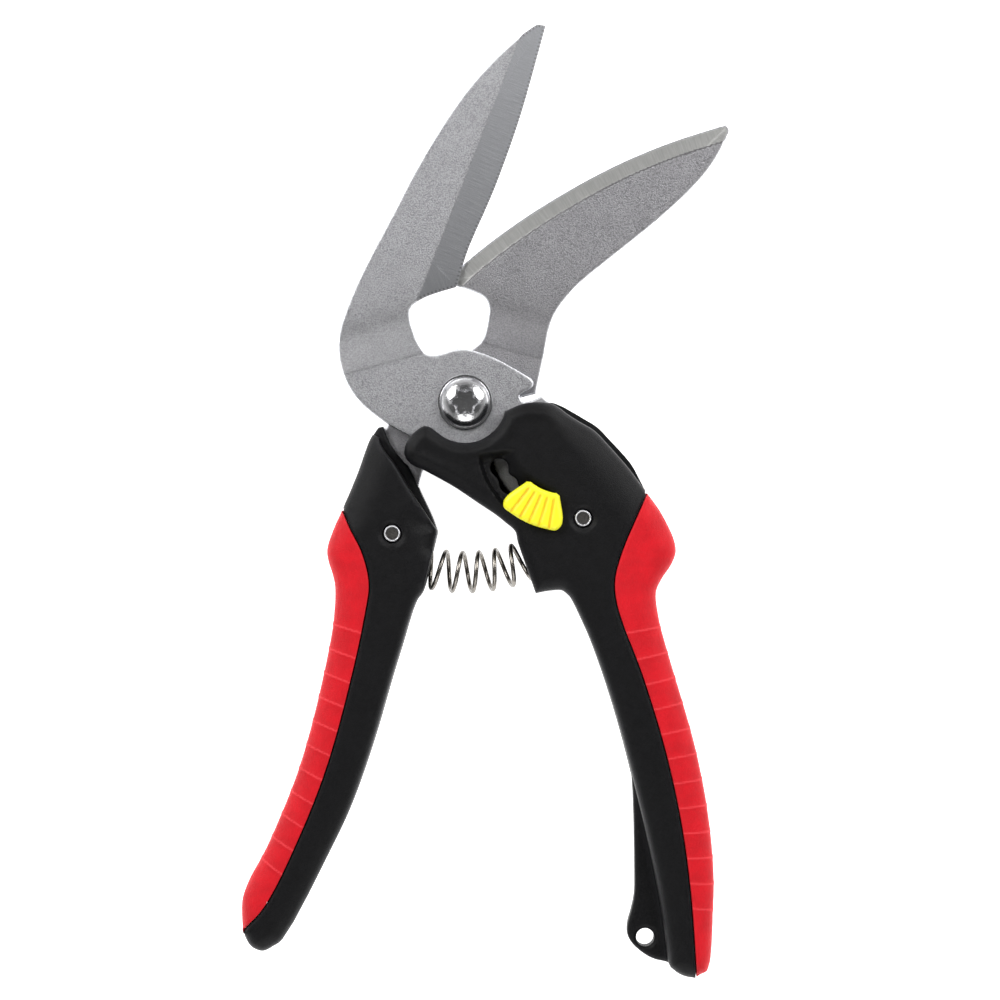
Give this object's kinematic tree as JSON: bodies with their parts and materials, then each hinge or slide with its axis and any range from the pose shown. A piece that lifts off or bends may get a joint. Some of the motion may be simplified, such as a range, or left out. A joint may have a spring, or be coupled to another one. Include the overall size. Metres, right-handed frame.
{
  "type": "pruning shears",
  "caption": "Bypass pruning shears with cranked steel blades, plastic handles with soft grips, a coil return spring between them and a swinging thumb lock.",
  "frame": {"origin": "centre of the flat rear end of the pivot bolt, in the plane that the backs of the handles lie on", "axes": "+Y towards the blade tips, +Z out of the face that carries the lock button, +X to the right of that view"},
  "size_m": [0.1026, 0.2001, 0.0185],
  "materials": {
    "blade_steel": "bead-blasted satin, bright stamped edges",
    "bright_steel": "drawn, bright",
    "polished_steel": "polished",
    "plain_steel": "zinc-grey satin",
    "black_plastic": "fine spark-eroded texture",
    "red_rubber": "satin elastomer with cross ribs",
    "yellow_plastic": "satin"
  },
  "bodies": {
    "right_half": {"upper_blade": "blade_steel", "right_front_casing": "black_plastic", "right_back_casing": "black_plastic", "right_grip": "red_rubber", "right_rivet": "bright_steel", "right_rivet_washer": "plain_steel", "pivot_bolt": "polished_steel", "pivot_wave_washer": "plain_steel", "pivot_nut": "plain_steel", "lock_pivot_pin": "plain_steel", "return_spring": "bright_steel"},
    "left_half": {"lower_blade": "blade_steel", "left_front_casing": "black_plastic", "left_back_casing": "black_plastic", "left_grip": "red_rubber", "left_rivet": "bright_steel", "left_rivet_washer": "plain_steel"},
    "lock": {"lock_lever": "plain_steel", "latch_pin": "plain_steel", "lock_stem": "plain_steel", "lock_button": "yellow_plastic"}
  },
  "joints": [
    {"name": "blade_pivot", "type": "hinge", "parent": "right_half", "child": "left_half", "pos_m": [0, 0, 0.008], "axis": [0, 0, 1], "range_deg": [0, 31], "stiffness_Nm_per_rad": 1, "springref_deg": -17.19, "deforming": ["return_spring"]},
    {"name": "lock_swing", "type": "hinge", "parent": "right_half", "child": "lock", "pos_m": [0.0207, -0.0087, 0.0114], "axis": [0, 0, -1], "range_deg": [0, 45]}
  ]
}
